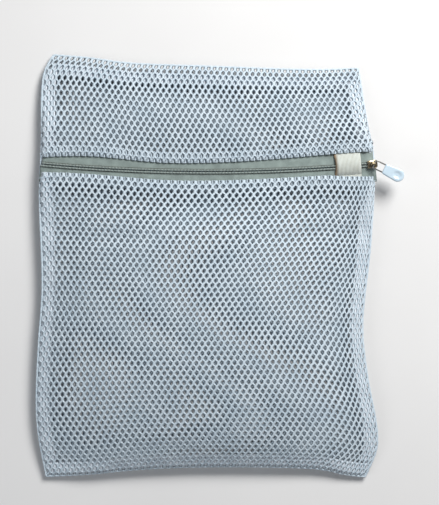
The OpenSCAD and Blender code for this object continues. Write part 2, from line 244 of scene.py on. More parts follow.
low_left, low_right = corner(-1, -1), corner(1, -1)
top_left, top_right = corner(-1, 1), corner(1, 1)
left_edge = line_along(back_corners, 1, low_left[1], top_left[1], 0)
right_edge = line_along(back_corners, 1, low_right[1], top_right[1], 1)
bottom_edge = line_along(back_corners, 0, low_left[0], low_right[0], 0)
top_edge = line_along(back_corners, 0, top_left[0], top_right[0], 1)
lower_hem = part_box("lower_hem_stitching")
upper_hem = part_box("upper_hem_stitching")
lower_fold = line_along(lower_corners, 0, lower_hem[0].x, lower_hem[1].x, 1)
upper_fold = line_along(upper_corners, 0, upper_hem[0].x, upper_hem[1].x, 0)


def in_plan(across, along, low_line, high_line):
    """Plan place for a share across the bag and a share along, between a low and a high line."""
    low = np.interp(low_left[0] + (low_right[0] - low_left[0]) * across, *low_line)
    high = np.interp(top_left[0] + (top_right[0] - top_left[0]) * across, *high_line)
    y = low + (high - low) * along
    left, right = np.interp(y, *left_edge), np.interp(y, *right_edge)
    return left + (right - left) * across, y


def as_tree(triangles):
    """Triangles made ready to be measured with straight lines."""
    return BVHTree.FromPolygons(triangles.reshape(-1, 3).tolist(),
                                np.arange(triangles.size // 3).reshape(-1, 3).tolist())


def height_on(tree, x, y, from_above=True):
    """Height of a surface over a plan place, or of its nearest point just past its edge."""
    far, way = 0.2, -1 if from_above else 1
    hit = tree.ray_cast((x, y, -way * far), (0, 0, way))[0]
    if hit is None:
        hit = tree.find_nearest((x, y, front_z))[0]
    return hit.z


seam_tree = as_tree(corners_of("seam_thread"))


def seam_height(x, y):
    return seam_tree.find_nearest((x, y, front_z))[0].z


def smooth_step(share):
    share = np.clip(share, 0, 1)
    return share * share * (3 - 2 * share)


def to_edge(x, y):
    """Distance in plan from a place to the nearest seam."""
    return min(x - np.interp(y, *left_edge), np.interp(y, *right_edge) - x,
               y - np.interp(x, *bottom_edge), np.interp(x, *top_edge) - y)


def surface_grid(corners, along_steps, low_line, high_line, from_above, lean=0.0, sway=0.0):
    """Middle of a panel's thickness on an even grid, closed on to the seam at its edges. The lean
    drags the cloth to the right along its high edge, near its right-hand end, and the sway lets
    its columns of holes wander, as they do in a panel that was sewn in by hand."""
    tree = as_tree(corners)
    across, along = np.meshgrid(np.linspace(0, 1, across_steps + 1), np.linspace(0, 1, along_steps + 1))
    leaning = smooth_step((along - lean_start) / lean_over)
    across = across + lean * leaning * across ** 4 * (1 - across) * 4
    swaying = np.sin(sway_turns * math.pi * along + sway_slant * across)
    across = across + sway * np.sin(math.pi * across) * swaying * np.sin(math.pi * along)
    x, y = in_plan(across, along, low_line, high_line)
    grid = np.stack([x, y, np.zeros_like(x)], axis=-1)
    skin = -net_thick / 2 if from_above else net_thick / 2
    for place in grid.reshape(-1, 3):
        inside = to_edge(place[0], place[1])
        open_share = smooth_step(inside / edge_close)
        seam = seam_height(place[0], place[1]) - skin * min(1, max(0, inside) / seam_lap)
        surface = height_on(tree, place[0], place[1], from_above) + skin
        place[2] = seam + (surface - seam) * open_share
    return grid


back_grid = surface_grid(back_corners, back_steps, bottom_edge, top_edge, False, sway=0.022)
lower_grid = surface_grid(lower_corners, lower_steps, bottom_edge, lower_fold, True, lean=0.1)
upper_grid = surface_grid(upper_corners, upper_steps, upper_fold, top_edge, True)
lower_grid[-1, :, 2] = lower_grid[-2, :, 2]
upper_grid[0, :, 2] = upper_grid[1, :, 2]


def grid_faces(rows, columns, start=0):
    """Faces between the points of a grid, numbered row by row."""
    index = start + np.arange(rows * columns).reshape(rows, columns)
    return np.stack([index[:-1, :-1], index[:-1, 1:], index[1:, 1:], index[1:, :-1]], axis=-1).reshape(-1, 4)


def from_border(count):
    """Steps from each of a row of points to the nearer end of the row."""
    return np.minimum(np.arange(count), np.arange(count)[::-1])


def pucker(grids, ways):
    """Lets the panels pucker between their stitched edges, by cloth simulation. Each panel is cut
    a little fuller than its seams, and its edges are held. Returns the moved grids."""
    frames = 22
    furthest = 0.0035
    fullness_fade = 5.0                # steps in from the seam over which the fullness fades
    points, faces, held, full, start = [], [], [], [], 0
    for grid, way in zip(grids, ways):
        rows, columns = grid.shape[:2]
        faces += grid_faces(rows, columns, start)[:, ::way].tolist()
        border = np.minimum(from_border(rows)[:, None], from_border(columns)[None, :]).ravel()
        held += (start + np.flatnonzero(border == 0)).tolist()
        full += np.exp(-border / fullness_fade).tolist()
        points.append(grid.reshape(-1, 3))
        start += rows * columns
    rest = np.concatenate(points)
    cloth = plain_mesh("cut_panels", rest.tolist(), faces)
    cloth.vertex_groups.new(name="stitched").add(held, 1.0, "REPLACE")
    fuller = cloth.vertex_groups.new(name="fuller")
    for number, weight in enumerate(full):
        fuller.add([number], weight, "REPLACE")
    modifier = cloth.modifiers.new("cloth", "CLOTH")
    for key, value in {"quality": 6, "mass": 0.08, "tension_stiffness": 15, "compression_stiffness": 15,
                       "shear_stiffness": 6, "bending_stiffness": 0.4, "vertex_group_mass": "stitched",
                       "vertex_group_shrink": "fuller", "shrink_min": -0.002, "shrink_max": -0.03,
                       "use_pressure": True, "uniform_pressure_force": 0.6}.items():
        setattr(modifier.settings, key, value)
    modifier.settings.effector_weights.gravity = 0
    modifier.point_cache.frame_end = frames
    for number in range(1, frames + 1):
        bpy.context.scene.frame_set(number)
    shape = cloth.evaluated_get(bpy.context.evaluated_depsgraph_get()).to_mesh()
    moved = np.empty(len(rest) * 3)
    shape.vertices.foreach_get("co", moved)
    shift = moved.reshape(-1, 3) - rest
    length = np.maximum(np.linalg.norm(shift, axis=1, keepdims=True), 1e-9)
    shift *= np.minimum(1, furthest / length)
    cloth.to_mesh_clear()
    bpy.data.objects.remove(cloth)
    bpy.context.scene.frame_set(1)
    result, start = [], 0
    for grid in grids:
        count = grid.shape[0] * grid.shape[1]
        result.append(grid + shift[start:start + count].reshape(grid.shape))
        start += count
    return result


back_grid, lower_grid, upper_grid = pucker((back_grid, lower_grid, upper_grid), (-1, 1, 1))
back_grid[:, :, 2] = np.maximum(back_grid[:, :, 2], net_thick / 2)


def with_hem(grid, at_end):
    """Adds the round of the fold and the hem under it to the panel's rows next to the zip."""
    edge, inward = (grid[-1], grid[-1] - grid[-2]) if at_end else (grid[0], grid[0] - grid[1])
    toward_zip = np.sign(inward[:, 1:2].mean())
    rows = []
    for step in range(1, fold_steps + 1):
        angle = math.pi * step / fold_steps
        row = edge.copy()
        row[:, 1] += toward_zip * hem_drop / 2 * math.sin(angle)
        row[:, 2] -= hem_drop / 2 * (1 - math.cos(angle))
        rows.append(row)
    for step in range(1, under_steps + 1):
        row = rows[fold_steps - 1].copy()
        row[:, 1] -= toward_zip * hem_wide * step / under_steps
        rows.append(row)
    rows = np.array(rows)
    return np.concatenate([grid, rows]) if at_end else np.concatenate([rows[::-1], grid])


lower_cut = with_hem(lower_grid, True)
upper_cut = with_hem(upper_grid, False)

# ---- The three panels of net ----
# Knitted polyester net with pointed oval holes, every second row set over by half a hole.
# One panel makes the back; the two front panels are hemmed beside the zip.

hole_pitch = 0.0054                    # from hole to hole across
row_pitch = 0.004225                   # from one row of holes to the next
hole_half_wide = 0.0010
hole_half_long = 0.0024
hole_fullness = 2.2                    # 2 would make a hole's sides round
hole_stations = (-0.72, -0.26, 0.26, 0.72)
tip_share, side_share = 0.7, 0.3       # of the row pitch, from a cell's middle to its tips and its sides
cut_rim = 0.0002                       # of plain yarn along a cut edge
same_place = 0.00006                   # neighbouring loops closer than this are knitted together
eased_from, eased_over = 0.86, 0.12    # shares of the width, before the gathers and over them


def flat_lengths(grid, eased=0.0):
    """Lengths of the flat cut along its rows and its columns, from the first to each next one.
    The eased length is gathered near the end of the width."""
    across = np.linalg.norm(np.diff(grid, axis=1), axis=2).mean(axis=0)
    if eased:
        share = smooth_step((np.arange(len(across)) / len(across) - eased_from) / eased_over)
        across = across + eased * share / share.sum()
    along = np.linalg.norm(np.diff(grid, axis=0), axis=2).mean(axis=1)
    return np.concatenate([[0], np.cumsum(across)]), np.concatenate([[0], np.cumsum(along)])


def outward_of(grid):
    """Unit normals of a grid, on its upper side."""
    normal = np.cross(np.gradient(grid, axis=1), np.gradient(grid, axis=0))
    return normal / np.linalg.norm(normal, axis=2, keepdims=True)


def cut_panel(name, grid, eased):
    """A panel's middle surface, with the flat cut's own coordinates, for the net to be laid on."""
    across, along = flat_lengths(grid, eased)
    quads = grid_faces(*grid.shape[:2])
    panel = plain_mesh(name, grid.reshape(-1, 3).tolist(), quads.tolist())
    flat = np.stack(np.meshgrid(across / across[-1], along / along[-1]), axis=-1).reshape(-1, 2)
    panel.data.uv_layers.new(name="flat").data.foreach_set("uv", flat[quads.ravel()].ravel())
    outward = panel.data.attributes.new("outward", "FLOAT_VECTOR", "POINT")
    outward.data.foreach_set("vector", outward_of(grid).ravel())
    return panel, across[-1], along[-1]


def angle_of(point):
    return math.atan2(point[1], point[0]) % (2 * math.pi)


def loop_of_net():
    """One hole of the net and the yarn round it: a six-sided cell, thick at its outside and
    running out to an edge round the hole."""
    half, tip, side = hole_pitch / 2, tip_share * row_pitch, side_share * row_pitch
    outside = [(half, -side), (half, side), (0, tip), (-half, side), (-half, -side), (0, -tip)]
    right = [(hole_half_wide * (1 - abs(s) ** hole_fullness), hole_half_long * s) for s in hole_stations]
    inside = right + [(0, hole_half_long)] + [(-x, -y) for x, y in right] + [(0, -hole_half_long)]
    outside.sort(key=angle_of)
    inside.sort(key=angle_of)
    n, m = len(outside), len(inside)
    points = [(x, y, z) for z in (net_thick / 2, -net_thick / 2) for x, y in outside]
    points += [(x, y, 0) for x, y in inside]
    faces, i, j = [], 0, 0
    while i < n or j < m:
        next_out = angle_of(outside[(i + 1) % n]) + 2 * math.pi * ((i + 1) // n)
        next_in = angle_of(inside[(j + 1) % m]) + 2 * math.pi * ((j + 1) // m)
        if j == m or (i < n and next_out <= next_in):
            face = (i % n, (i + 1) % n, 2 * n + j % m)
            i += 1
        else:
            face = (i % n, 2 * n + (j + 1) % m, 2 * n + j % m)
            j += 1
        faces += [face, tuple(k + n if k < n else k for k in face[::-1])]
    return plain_mesh("net_loop", points, faces)


def new_maker(name, settings):
    """An empty Geometry Nodes tree with named settings: its tree, inputs and output."""
    tree = bpy.data.node_groups.new(name, "GeometryNodeTree")
    tree.interface.new_socket("Geometry", in_out="INPUT", socket_type="NodeSocketGeometry")
    for label, kind in settings.items():
        tree.interface.new_socket(label, in_out="INPUT", socket_type="NodeSocket" + kind)
    tree.interface.new_socket("Geometry", in_out="OUTPUT", socket_type="NodeSocketGeometry")
    return tree, tree.nodes.new("NodeGroupInput").outputs, tree.nodes.new("NodeGroupOutput").inputs[0]


def sum_in(tree, operation, first, second=0.0):
    return step_in(tree, "ShaderNodeMath", {0: first, 1: second}, operation=operation)


def place_in(tree, x=0.0, y=0.0, z=0.0):
    return step_in(tree, "ShaderNodeCombineXYZ", {0: x, 1: y, 2: z})


def laid_on(tree, points, shape, **way):
    """Lays a shape on every point, turned or stretched in the way given, as real mesh."""
    shape = node_in(tree, "GeometryNodeObjectInfo", {"Object": shape}).outputs["Geometry"]
    laid = step_in(tree, "GeometryNodeInstanceOnPoints", {"Points": points, "Instance": shape, **way})
    return step_in(tree, "GeometryNodeRealizeInstances", {0: laid})


def end_with(tree, shape, finish, out):
    """Ends a maker with smooth shading and the finish."""
    smooth = step_in(tree, "GeometryNodeSetShadeSmooth", {0: shape})
    tree.links.new(step_in(tree, "GeometryNodeSetMaterial", {"Geometry": smooth, "Material": finish}), out)
    return tree


def net_maker():
    """Lays loops of net in staggered rows on the flat cut, trims them to its edges, then bends
    them on to the panel."""
    tree, given, out = new_maker("lay_net", {
        "Loop": "Object", "Columns": "Int", "Rows": "Int", "Hole pitch": "Float", "Row pitch": "Float",
        "First row": "Float", "First set over": "Int", "Cut width": "Float", "Cut length": "Float",
        "Finish": "Material"})
    number = step_in(tree, "GeometryNodeInputIndex")
    column = sum_in(tree, "MODULO", number, given["Columns"])
    row = sum_in(tree, "FLOOR", sum_in(tree, "DIVIDE", number, given["Columns"]))
    parity = sum_in(tree, "MODULO", sum_in(tree, "ADD", row, given["First set over"]), 2.0)
    set_over = sum_in(tree, "MULTIPLY", parity, 0.5)
    across = sum_in(tree, "MULTIPLY", sum_in(tree, "ADD", column, set_over), given["Hole pitch"])
    along = sum_in(tree, "ADD", sum_in(tree, "MULTIPLY", row, given["Row pitch"]), given["First row"])
    count = sum_in(tree, "MULTIPLY", given["Columns"], given["Rows"])
    points = step_in(tree, "GeometryNodePoints", {"Count": count, "Position": place_in(tree, across, along)})
    stretch = place_in(tree, sum_in(tree, "DIVIDE", given["Hole pitch"], hole_pitch),
                       sum_in(tree, "DIVIDE", given["Row pitch"], row_pitch), 1.0)
    whole = laid_on(tree, points, given["Loop"], Scale=stretch)

    tiny = 1e-6
    here = step_in(tree, "GeometryNodeInputPosition")
    x, y, z = node_in(tree, "ShaderNodeSeparateXYZ", {0: here}).outputs
    trimmed, within = [], []
    for flat, cut in ((x, given["Cut width"]), (y, given["Cut length"])):
        last = sum_in(tree, "SUBTRACT", cut, cut_rim)
        trimmed.append(step_in(tree, "ShaderNodeClamp", {0: flat, 1: cut_rim, 2: last}))
        within.append(step_in(tree, "ShaderNodeMath", {0: trimmed[-1], 1: flat, 2: tiny},
                              operation="COMPARE"))
    thinned = sum_in(tree, "MULTIPLY", z, sum_in(tree, "MULTIPLY", *within))
    cut = step_in(tree, "GeometryNodeSetPosition", {
        "Geometry": whole, "Position": place_in(tree, *trimmed, thinned)})
    cut = step_in(tree, "GeometryNodeMergeByDistance", {"Geometry": cut, "Distance": same_place})
    flattened = sum_in(tree, "LESS_THAN", sum_in(tree, "ABSOLUTE", z), tiny)
    cut = step_in(tree, "GeometryNodeDeleteGeometry", {"Geometry": cut, "Selection": flattened},
                  domain="FACE")
    cut = step_in(tree, "GeometryNodeStoreNamedAttribute", {"Geometry": cut, "Name": "cloth", "Value": here},
                  data_type="FLOAT_VECTOR", domain="POINT")

    share = place_in(tree, sum_in(tree, "DIVIDE", x, given["Cut width"]),
                     sum_in(tree, "DIVIDE", y, given["Cut length"]))
    panel_flat, panel_out = [
        step_in(tree, "GeometryNodeInputNamedAttribute", {"Name": name}, data_type="FLOAT_VECTOR")
        for name in ("flat", "outward")]
    found = []
    for value in (here, panel_out):
        sampled = node_in(tree, "GeometryNodeSampleUVSurface", data_type="FLOAT_VECTOR")
        open_inputs = [s for s in sampled.inputs if s.enabled]
        for socket, source in zip(open_inputs, (given[0], value, panel_flat, share)):
            tree.links.new(source, socket)
        found.append([s for s in sampled.outputs if s.enabled][0])
    straight = step_in(tree, "ShaderNodeVectorMath", {0: found[1]}, operation="NORMALIZE")
    raised = step_in(tree, "ShaderNodeVectorMath", {0: straight, "Scale": z}, operation="SCALE")
    bent = step_in(tree, "ShaderNodeVectorMath", {0: found[0], 1: raised}, operation="ADD")
    shaped = step_in(tree, "GeometryNodeSetPosition", {"Geometry": cut, "Position": bent})
    return end_with(tree, shaped, given["Finish"], out)


def made_by(tree, source, name, values):
    """Runs a maker on a source object, and returns the plain mesh piece that it makes."""
    modifier = source.modifiers.new(tree.name, "NODES")
    modifier.node_group = tree
    for item in tree.interface.items_tree:
        if item.in_out == "INPUT" and item.name in values:
            modifier[item.identifier] = values[item.name]
    depsgraph = bpy.context.evaluated_depsgraph_get()
    mesh = bpy.data.meshes.new_from_object(source.evaluated_get(depsgraph), preserve_all_data_layers=True,
                                           depsgraph=depsgraph)
    bpy.data.objects.remove(source)
    mesh.name = name
    return put_out(name, mesh)


def cloth_place(tree):
    """The cloth's own flat coordinates, in metres."""
    return node_in(tree, "ShaderNodeAttribute", attribute_name="cloth").outputs["Vector"]


def part_of(tree, place, axis):
    return node_in(tree, "ShaderNodeSeparateXYZ", {0: place}).outputs[axis]


def waves(tree, place, spacing, direction, distortion=0.0):
    """Even waves along one direction of a place, at a spacing in metres."""
    wave = node_in(tree, "ShaderNodeTexWave", {
        "Vector": place, "Scale": math.pi / (10 * spacing), "Distortion": distortion},
        bands_direction=direction)
    return wave.outputs["Fac"]


def mixed(tree, value, start, end, low, high):
    """Blends smoothly from the low colour to the high one as a value rises from start to end."""
    rise = step_in(tree, "ShaderNodeMapRange", {"Value": value, "From Min": start, "From Max": end},
                   interpolation_type="SMOOTHSTEP")
    mix = node_in(tree, "ShaderNodeMix", {"Factor": rise, 6: (*low, 1), 7: high}, data_type="RGBA")
    return mix.outputs[2]


def net_finish():
    """Bluish white polyester yarn with the fine ribs of its stitches, and painted shade that darkens it deep
    in its holes.
    """
    material, tree = new_finish("net_yarn", {"Roughness": 0.55, "Sheen Weight": 0.1, "Sheen Roughness": 0.5})
    place = cloth_place(tree)
    yarn = shade(tree, noise(tree, 45.0, 3.0, place), (0.3, (0.47, 0.57, 0.65)), (0.7, (0.56, 0.65, 0.72)))
    height = sum_in(tree, "ABSOLUTE", part_of(tree, place, 2))
    ribs = sum_in(tree, "ADD", waves(tree, place, 0.0008, "DIAGONAL", 1.5), noise(tree, 2600.0, 2.0, place))
    # painted shade: the yarn turns near black towards the middle of its thickness at each hole's rim
    colour = mixed(tree, height, 0.0, net_thick * 0.15, (0.13, 0.16, 0.20), yarn)
    return dress(material, colour, ribs, 0.5, 0.00012)


net_columns = round(flat_lengths(back_grid)[0][-1] / hole_pitch)
back_rows = round(flat_lengths(back_grid)[1][-1] / row_pitch - 2 * tip_share) + 1
net_tree = net_maker()
net_loop = loop_of_net()
net_yarn = net_finish()


def close_cut_ends(piece):
    """Joins the upper and lower skins of the net along its cut ends."""
    on_skin = 1e-7
    shape = bmesh.new()
    shape.from_mesh(piece.data)
    flat = shape.verts.layers.float_vector["cloth"]
    rim = [edge for edge in shape.edges if edge.is_boundary]
    lower_skin = [v for v in {v for edge in rim for v in edge.verts} if v[flat].z < on_skin]
    for edge in rim:
        start = edge.link_loops[0].vert
        end = edge.other_vert(start)
        if max(start[flat].z, end[flat].z) > on_skin:
            under = [min(lower_skin, key=lambda v: (v[flat].xy - top[flat].xy).length)
                     for top in (start, end)]
            wall = shape.faces.new(dict.fromkeys((end, start, *under)))
            wall.smooth = True
    shape.to_mesh(piece.data)
    shape.free()


def stands_in(piece, node, body="bag"):
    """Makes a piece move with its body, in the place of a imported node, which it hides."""
    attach(piece, body)
    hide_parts(node)


def net_panel(name, grid, node, fold_at=None, eased=0.0):
    """A whole panel of net. Its fold, if it has one, lies midway between two rows of holes, so that
    the holes of the layer under it lie behind the yarn and the hem is closed."""
    panel, width, length = cut_panel("cut_" + name, grid, eased)
    if fold_at is None:
        rows_over = round(length / row_pitch - 2 * tip_share)
        pitch = length / (rows_over + 2 * tip_share)
        first_row, first_over, rows = tip_share * pitch, 0, rows_over + 1
    else:
        fold = flat_lengths(grid)[1][list(fold_at)].mean()
        hem_first = fold < length / 2
        sewn, under = (length - fold, fold) if hem_first else (fold, length - fold)
        rows_over = round(sewn / row_pitch - tip_share - 0.5)
        pitch = sewn / (rows_over + tip_share + 0.5)
        rows_under = math.floor(under / pitch + 0.5)
        rows = rows_over + 1 + rows_under
        first_row = fold + pitch / 2 - rows_under * pitch if hem_first else tip_share * pitch
        first_over = (back_rows - rows) % 2 if hem_first else 0
    piece = made_by(net_tree, panel, name, {
        "Loop": net_loop, "Columns": net_columns + 1, "Rows": rows, "Hole pitch": width / net_columns,
        "Row pitch": pitch, "First row": first_row, "First set over": first_over, "Cut width": width,
        "Cut length": length, "Finish": net_yarn})
    close_cut_ends(piece)
    stands_in(piece, node)


net_panel("back_net", back_grid[:, ::-1], "back_panel")
net_panel("lower_front_net", lower_cut, "lower_front_panel",
          fold_at=(lower_steps, lower_steps + fold_steps), eased=0.010)
net_panel("upper_front_net", upper_cut, "upper_front_panel",
          fold_at=(under_steps, under_steps + fold_steps))
bpy.data.objects.remove(net_loop)

# ---- Seam ----
# The front and back are sewn together all round and turned, so that the stitches lie between
# them and the net itself rolls over the edge in a narrow, slightly scalloped fold.

thread_in = 0.0010                     # from the sewn edge to the stitches
seam_stitch = 0.0023
stitch_spacing = 1.15                  # from one stitch to the next, in stitch lengths
thread_thick = 0.00034
roll_half_wide = 0.0009
roll_half_high = 0.0007
roll_in = 0.95                         # from the sewn edge to the roll's middle, in its half widths
scallop_deep = 0.14


def seam_path(inward, each):
    """Line at a distance in from the edge, once round the bag, with its corners a little round."""
    corner_passes, height_passes = 3, 6
    share = np.arange(each) / each
    none, whole = np.zeros(each), np.ones(each)
    x, y = in_plan(np.concatenate([share, whole, 1 - share, none]),
                   np.concatenate([none, share, whole, 1 - share]), bottom_edge, top_edge)
    path = np.stack([x, y], axis=-1)
    for _ in range(corner_passes):
        path = (np.roll(path, 1, axis=0) + 2 * path + np.roll(path, -1, axis=0)) / 4
    ahead = np.roll(path, -1, axis=0) - np.roll(path, 1, axis=0)
    ahead /= np.linalg.norm(ahead, axis=1, keepdims=True)
    path += np.stack([-ahead[:, 1], ahead[:, 0]], axis=-1) * inward
    height = np.array([[seam_height(*place)] for place in path])
    for _ in range(height_passes):
        height = (np.roll(height, 1, axis=0) + height + np.roll(height, -1, axis=0)) / 3
    return np.concatenate([path, height], axis=1)


def new_piece(name, points, faces, finish, cloth=None):
    """A smooth mesh piece with its finish, and its flat cloth coordinates if it has them."""
    piece = plain_mesh(name, np.asarray(points).tolist(), [list(map(int, face)) for face in faces])
    if cloth is not None:
        piece.data.uv_layers.new(name="cloth").data.foreach_set("uv", np.asarray(cloth).ravel())
    piece.data.shade_smooth()
    piece.data.materials.append(finish)
    return piece


def thread_finish(name, light, dark):
    """Twisted sewing thread."""
    material, tree = new_finish(name, {"Roughness": 0.5, "Sheen Weight": 0.2})
    place = node_in(tree, "ShaderNodeTexCoord").outputs["Object"]
    twist = waves(tree, place, 0.0004, "DIAGONAL", 0.6)
    return dress(material, shade(tree, noise(tree, 300.0), (0.35, dark), (0.65, light)), twist, 0.4, 0.00005)


def sewing_maker():
    """Sews stitches along a line, one after another at an even spacing."""
    tree, given, out = new_maker("sew_row", {"Stitch": "Object", "Spacing": "Float", "Finish": "Material"})
    line = step_in(tree, "GeometryNodeMeshToCurve", {"Mesh": given[0]})
    even = step_in(tree, "GeometryNodeResampleCurve", {"Curve": line, "Length": given["Spacing"]},
                   mode="LENGTH")
    ahead = step_in(tree, "GeometryNodeInputTangent")
    along = step_in(tree, "FunctionNodeAlignRotationToVector", {"Vector": ahead}, axis="X")
    return end_with(tree, laid_on(tree, even, given["Stitch"], Rotation=along), given["Finish"], out)


def tube_faces(rings, sides, closed=False):
    """Faces of a tube made of rings of points, joined end to end if it is closed."""
    faces = []
    for i in range(rings if closed else rings - 1):
        j = (i + 1) % rings
        for k in range(sides):
            n = (k + 1) % sides
            faces.append((i * sides + k, i * sides + n, j * sides + n, j * sides + k))
    return faces


def one_stitch(length, thick, flat):
    """A stitch that dips at both ends, as thread does where it goes through the cloth."""
    half = [(0.5, 0.35, -0.8), (0.3, 0.9, -0.05)]
    stations = [(-at, wide, rise) for at, wide, rise in half] + [(0.0, 1.0, 0.15)] + half[::-1]
    sides, last = 6, len(stations) - 1
    points = []
    for at, wide, rise in stations:
        for k in range(sides):
            angle = 2 * math.pi * k / sides
            points.append((at * length, wide * thick / 2 * math.cos(angle),
                           flat * thick / 2 * (rise + wide * math.sin(angle))))
    ends = [tuple(range(sides))[::-1], tuple(last * sides + k for k in range(sides))]
    return plain_mesh("stitch", points, tube_faces(len(stations), sides) + ends)


def sewn_row(name, path, length, thick, spacing, finish, node=None, closed=False, flat=1.0):
    """A row of stitches along a path, pressed flat where something slides over them."""
    edges = [(i, i + 1) for i in range(len(path) - 1)]
    if closed:
        edges.append((len(path) - 1, 0))
    line = plain_mesh("line_of_" + name, [tuple(map(float, place)) for place in path], [], edges)
    stitch = one_stitch(length, thick, flat)
    row = made_by(sewing_tree, line, name, {"Stitch": stitch, "Spacing": spacing, "Finish": finish})
    bpy.data.objects.remove(stitch)
    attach(row, "bag")
    if node:
        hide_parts(node)


def rolled_edge():
    """The net's own fold over the seam, swept once round the bag."""
    path = seam_path(roll_half_wide * roll_in, 320)
    ahead = np.roll(path, -1, axis=0) - np.roll(path, 1, axis=0)
    length = np.cumsum(np.linalg.norm(ahead, axis=1) / 2)
    side = np.stack([-ahead[:, 1], ahead[:, 0], np.zeros(len(path))], axis=-1)
    side /= np.linalg.norm(side, axis=1, keepdims=True)
    scallop = 1 + scallop_deep * np.cos(2 * math.pi * length / (length[-1] / round(length[-1] / hole_pitch)))
    sides = 10
    rings, flats = [], []
    for k in range(sides):
        angle = 2 * math.pi * k / sides
        ring = path + side * (roll_half_wide * math.cos(angle) * scallop)[:, None]
        ring[:, 2] += roll_half_high * math.sin(angle) * scallop
        rings.append(ring)
        around, thick = np.full(len(path), roll_half_wide * angle), np.full(len(path), net_thick)
        flats.append(np.stack([length, around, thick], axis=-1))
    index = np.arange(sides * len(path)).reshape(sides, len(path))
    beside, after = np.roll(index, -1, axis=0), np.roll(index, -1, axis=1)
    faces = np.stack([index, beside, np.roll(beside, -1, axis=1), after], axis=-1).reshape(-1, 4)
    roll = new_piece("seam_roll", np.concatenate(rings), faces, net_yarn)
    own = roll.data.attributes.new("cloth", "FLOAT_VECTOR", "POINT")
    own.data.foreach_set("vector", np.concatenate(flats).ravel())
    return roll


sewing_tree = sewing_maker()
white_thread = thread_finish("white_thread", (0.60, 0.70, 0.78), (0.46, 0.56, 0.64))
sewn_row("seam_lockstitch", seam_path(thread_in, 150), seam_stitch, thread_thick,
         seam_stitch * stitch_spacing, white_thread, "seam_thread", closed=True)
stands_in(rolled_edge(), "seam_thread")

# ---- Bindings ----
# A woven tape lies between the panels along each side, and is caught in the seam. It shows
# through the net as a pale band.

binding_thick = 0.0007
binding_lift = 0.0050                  # the most that the tape rises with the front net
binding_under = 0.0007                 # from the front net's middle to the tape's
binding_lines = 9                      # of points across the tape
binding_wave, wave_turn, wave_slant = 0.00022, 210, 5
top_slip = 0.0055                      # from the top edge, where one row of holes stays open
top_under = 0.0022                     # from the upper front net's middle to the loose tape there


def closed_shell(name, upper, lower, across, along, finish):
    """A closed sheet between two skins of points, with the cloth's flat coordinates."""
    rows, columns = upper.shape[:2]
    under = rows * columns
    index = np.arange(under).reshape(rows, columns)
    rim = np.concatenate([index[0, :-1], index[:-1, -1], index[-1, :0:-1], index[:0:-1, 0]])
    after = np.roll(rim, -1)
    skin = grid_faces(rows, columns)
    wall = np.stack([after, rim, rim + under, after + under], axis=-1)
    faces = np.concatenate([skin, skin[:, ::-1] + under, wall])
    flat = np.tile(np.stack(np.meshgrid(across, along), axis=-1).reshape(-1, 2), (2, 1))
    return new_piece(name, np.concatenate([upper, lower]).reshape(-1, 3), faces, finish, flat[faces.ravel()])


def thick_sheet(name, grid, thick, finish):
    """A closed sheet of even thickness round a grid of points."""
    outward = outward_of(grid) * thick / 2
    return closed_shell(name, grid + outward, grid - outward, *flat_lengths(grid), finish)


def woven_finish(name, light, dark, warp, weft, depth):
    """Plain woven tape: warp threads along it, weft threads across, slightly uneven in tone."""
    material, tree = new_finish(name, {"Roughness": 0.7, "Sheen Weight": 0.3})
    place = cloth_place(tree)
    threads = sum_in(tree, "MULTIPLY", waves(tree, place, warp, "Y"), waves(tree, place, weft, "X"))
    uneven = sum_in(tree, "ADD", threads, noise(tree, 130.0, 4.0, place))
    return dress(material, shade(tree, uneven, (0.35, dark), (1.0, light)), threads, depth, 0.00012)


def binding(name, node, upright, slip=0.0, under=binding_under):
    """One length of binding tape, in its packed place, with a slight wave where it was sewn in.
    Held at its ends only, it can slip down from the edge. It lies at a depth under the front
    net, where it can reach it."""
    corners = corners_of(node)
    low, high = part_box(node)
    tree = as_tree(corners)
    axis = 1 if upright else 0
    at, near = line_along(corners, axis, low[axis], high[axis], 0, steps=110)
    far = line_along(corners, axis, low[axis], high[axis], 1, steps=110)[1]
    grid = np.empty((binding_lines, len(at), 3))
    for row, share in enumerate(np.linspace(0.02, 0.98, binding_lines)):
        for column, (along, across) in enumerate(zip(at, near + (far - near) * share)):
            x, y = (across, along) if upright else (along, across - slip)
            wave = binding_wave * math.sin(along * wave_turn + wave_slant * share) * math.sin(math.pi * share)
            height = (height_on(tree, x, y) + height_on(tree, x, y, False)) / 2
            front = front_tree.ray_cast((x, y, 0.2), (0, 0, -1))[0]
            if front is not None:
                height += min(max(0, front.z - under - height), binding_lift)
            grid[row, column] = (x, y, height + wave)
    if upright:
        grid = grid[::-1]
    piece = thick_sheet(name, grid, binding_thick, binding_tape)
    stands_in(piece, node)


front_points = np.concatenate([lower_grid.reshape(-1, 3), upper_grid.reshape(-1, 3)])
front_faces = np.concatenate([grid_faces(*lower_grid.shape[:2]),
                              grid_faces(*upper_grid.shape[:2], start=lower_grid.size // 3)])
front_tree = BVHTree.FromPolygons(front_points.tolist(), front_faces.tolist())
binding_tape = woven_finish("binding_tape", (0.78, 0.84, 0.91), (0.64, 0.71, 0.79), 0.0007, 0.0010, 0.6)
binding("left_tape_binding", "left_binding", True)
binding("right_tape_binding", "right_binding", True)
binding("bottom_tape_binding", "bottom_binding", False)
binding("top_tape_binding", "top_binding", False, top_slip, top_under)

# ---- Zip tapes ----
# Two woven polyester tapes in sage green meet under the coil. Their outer edges are sewn in
# under the hems, and their ends turn down into the side seams.

